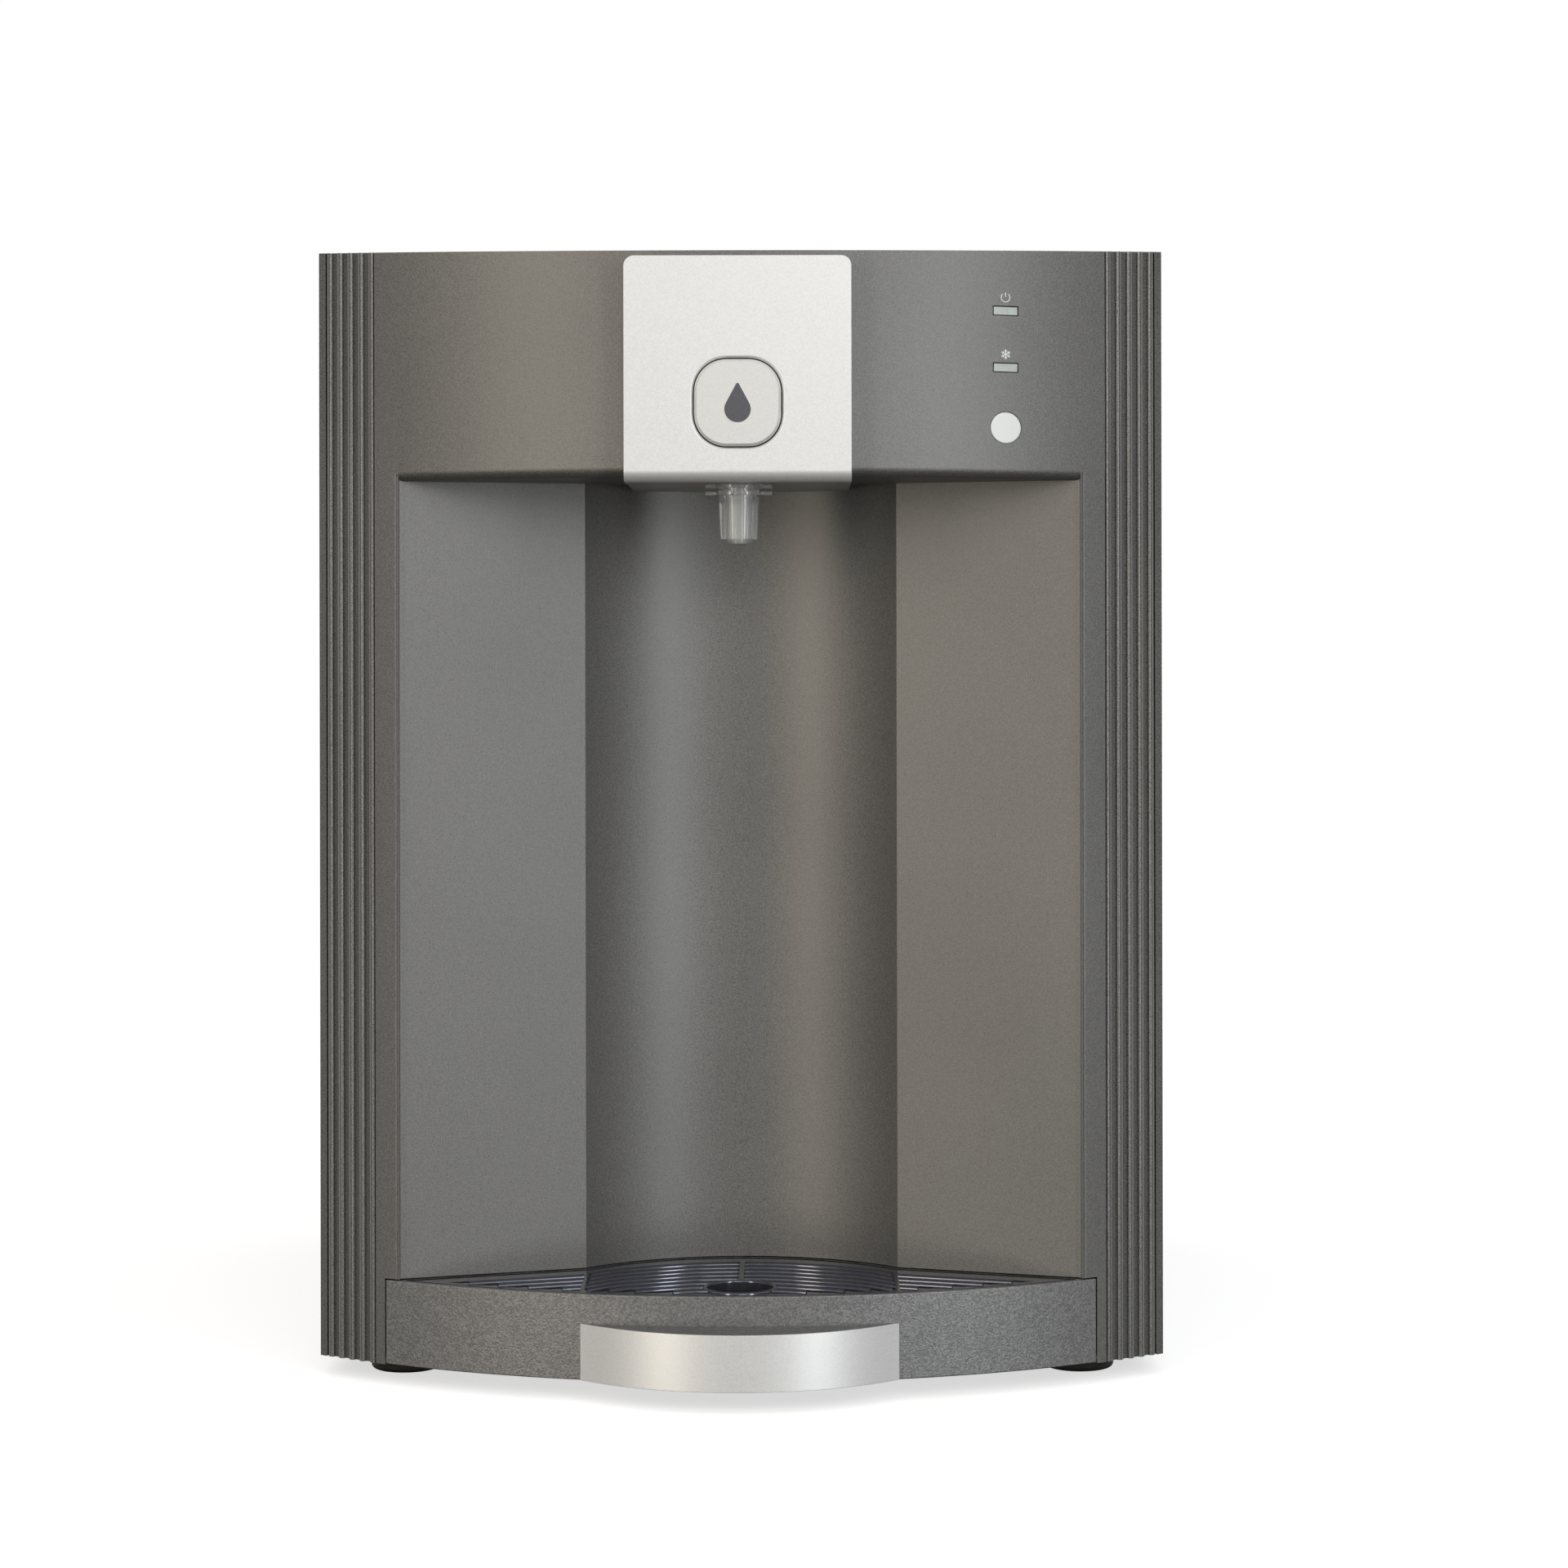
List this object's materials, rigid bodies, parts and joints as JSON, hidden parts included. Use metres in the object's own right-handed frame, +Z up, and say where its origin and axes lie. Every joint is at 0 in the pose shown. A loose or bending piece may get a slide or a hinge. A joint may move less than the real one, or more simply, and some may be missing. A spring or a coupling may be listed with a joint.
{
  "type": "countertop water cooler",
  "caption": "Countertop water cooler with a bowed graphite cabinet, a silver push-button dispensing head and a pull-out drip tray.",
  "frame": {"origin": "on the counter, under the middle of the whole cooler's box", "axes": "+Z up, -Y towards the user at the bowed front, +X to the right as the user sees it"},
  "size_m": [0.34, 0.4194, 0.4526],
  "materials": {
    "graphite_plastic": "fine metallic grain, satin",
    "tray_plastic": "coarse sparkle grain, satin",
    "silver_metal": "fine brushed, satin",
    "silver_plastic": "satin silver paint",
    "grid_black": "gloss",
    "black_rubber": "matt",
    "black_plastic": "satin",
    "clear_plastic": "clear, gloss",
    "lens_plastic": "frosted",
    "white_plastic": "gloss",
    "steel": "brushed",
    "copper": "drawn tube, satin",
    "foam": "moulded foam, matt",
    "circuit_board": "green board, satin",
    "black_paint": "gloss paint"
  },
  "bodies": {
    "cabinet": {"base_pan": "steel", "foot_front_left": "black_rubber", "foot_front_right": "black_rubber", "foot_rear_left": "black_rubber", "foot_rear_right": "black_rubber", "foot_screws": "steel", "left_side_panel": "graphite_plastic", "right_side_panel": "graphite_plastic", "front_panel": "graphite_plastic", "top_cover": "graphite_plastic", "rear_panel": "graphite_plastic", "rear_panel_screws": "steel", "head_cover": "silver_metal", "head_housing": "graphite_plastic", "button_spring": "steel", "dispense_switch": "black_plastic", "dispense_valve": "white_plastic", "valve_coil": "black_plastic", "power_lens": "lens_plastic", "chill_lens": "lens_plastic", "indicator_board": "circuit_board", "tank_stand": "steel", "cold_tank": "steel", "evaporator_jacket": "copper", "insulation_front": "foam", "insulation_rear": "foam", "compressor": "black_paint", "compressor_grommets": "black_rubber", "compressor_bolts": "steel", "condenser": "steel", "fan_frame": "black_plastic", "fan_motor": "steel", "discharge_line": "copper", "suction_line": "copper", "filter_drier": "copper", "capillary_tube": "copper", "inlet_fitting": "black_plastic", "feed_tube": "white_plastic", "cold_tube": "white_plastic", "control_board": "circuit_board", "mains_inlet": "black_plastic", "rocker_frame": "black_plastic"},
    "dispense_push": {"dispense_button": "silver_plastic"},
    "mode_push": {"mode_button": "white_plastic"},
    "nozzle_twist": {"nozzle": "clear_plastic", "nozzle_seal": "black_rubber"},
    "tray": {"drip_tray": "tray_plastic", "tray_handle": "tray_plastic", "handle_plate": "silver_metal"},
    "grid": {"drip_grid": "grid_black"},
    "fan": {"fan_rotor": "black_plastic"},
    "rocker": {"power_rocker": "black_plastic"}
  },
  "joints": [
    {"name": "dispense_press", "type": "slide", "parent": "cabinet", "child": "dispense_push", "axis": [0, 1, 0], "range_m": [0, 0.003], "stiffness_N_per_m": 500, "springref_m": -0.002, "deforming": ["button_spring"]},
    {"name": "mode_press", "type": "slide", "parent": "cabinet", "child": "mode_push", "axis": [0, 1, 0], "range_m": [0, 0.0012], "stiffness_N_per_m": 300, "springref_m": -0.001},
    {"name": "nozzle_turn", "type": "hinge", "parent": "cabinet", "child": "nozzle_twist", "pos_m": [0, -0.17375, 0.345], "axis": [0, 0, 1], "range_deg": [0, 60]},
    {"name": "tray_pull", "type": "slide", "parent": "cabinet", "child": "tray", "axis": [0, -1, 0], "range_m": [0, 0.095]},
    {"name": "grid_lift", "type": "slide", "parent": "tray", "child": "grid", "axis": [0, 0, 1], "range_m": [0, 0.05]},
    {"name": "fan_spin", "type": "hinge", "parent": "cabinet", "child": "fan", "pos_m": [-0.062, 0.12325, 0.0892], "axis": [0, 1, 0], "continuous": true},
    {"name": "power_flip", "type": "hinge", "parent": "cabinet", "child": "rocker", "pos_m": [0.106, 0.19225, 0.062], "axis": [-1, 0, 0], "range_deg": [0, 16]}
  ]
}
